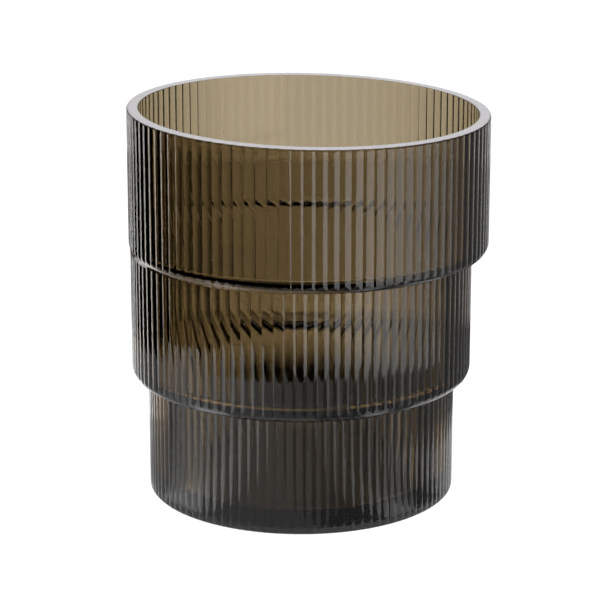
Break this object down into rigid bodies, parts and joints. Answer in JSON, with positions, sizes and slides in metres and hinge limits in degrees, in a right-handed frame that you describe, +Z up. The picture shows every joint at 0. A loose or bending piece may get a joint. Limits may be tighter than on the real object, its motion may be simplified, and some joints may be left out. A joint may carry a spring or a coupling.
{
  "type": "vase",
  "caption": "Stepped cylinder vase of smoke-brown ribbed glass, with fluted tiers that narrow towards the foot under a flat smooth rim.",
  "frame": {"origin": "centre of the foot, on the plane that the vase stands on", "axes": "+Z up through the mouth; +X towards the side where the upper tier overhangs furthest and the rim is lowest"},
  "size_m": [0.166, 0.166, 0.1818],
  "materials": {
    "smoke_glass": "fire-polished smoke-brown glass",
    "ground_glass": "ground and polished flat lip of the same glass"
  },
  "bodies": {
    "root": {"rim": "ground_glass", "upper_tier": "smoke_glass", "upper_step": "smoke_glass", "middle_tier": "smoke_glass", "lower_step": "smoke_glass", "lower_tier": "smoke_glass", "floor": "smoke_glass", "foot": "smoke_glass"}
  },
  "joints": []
}
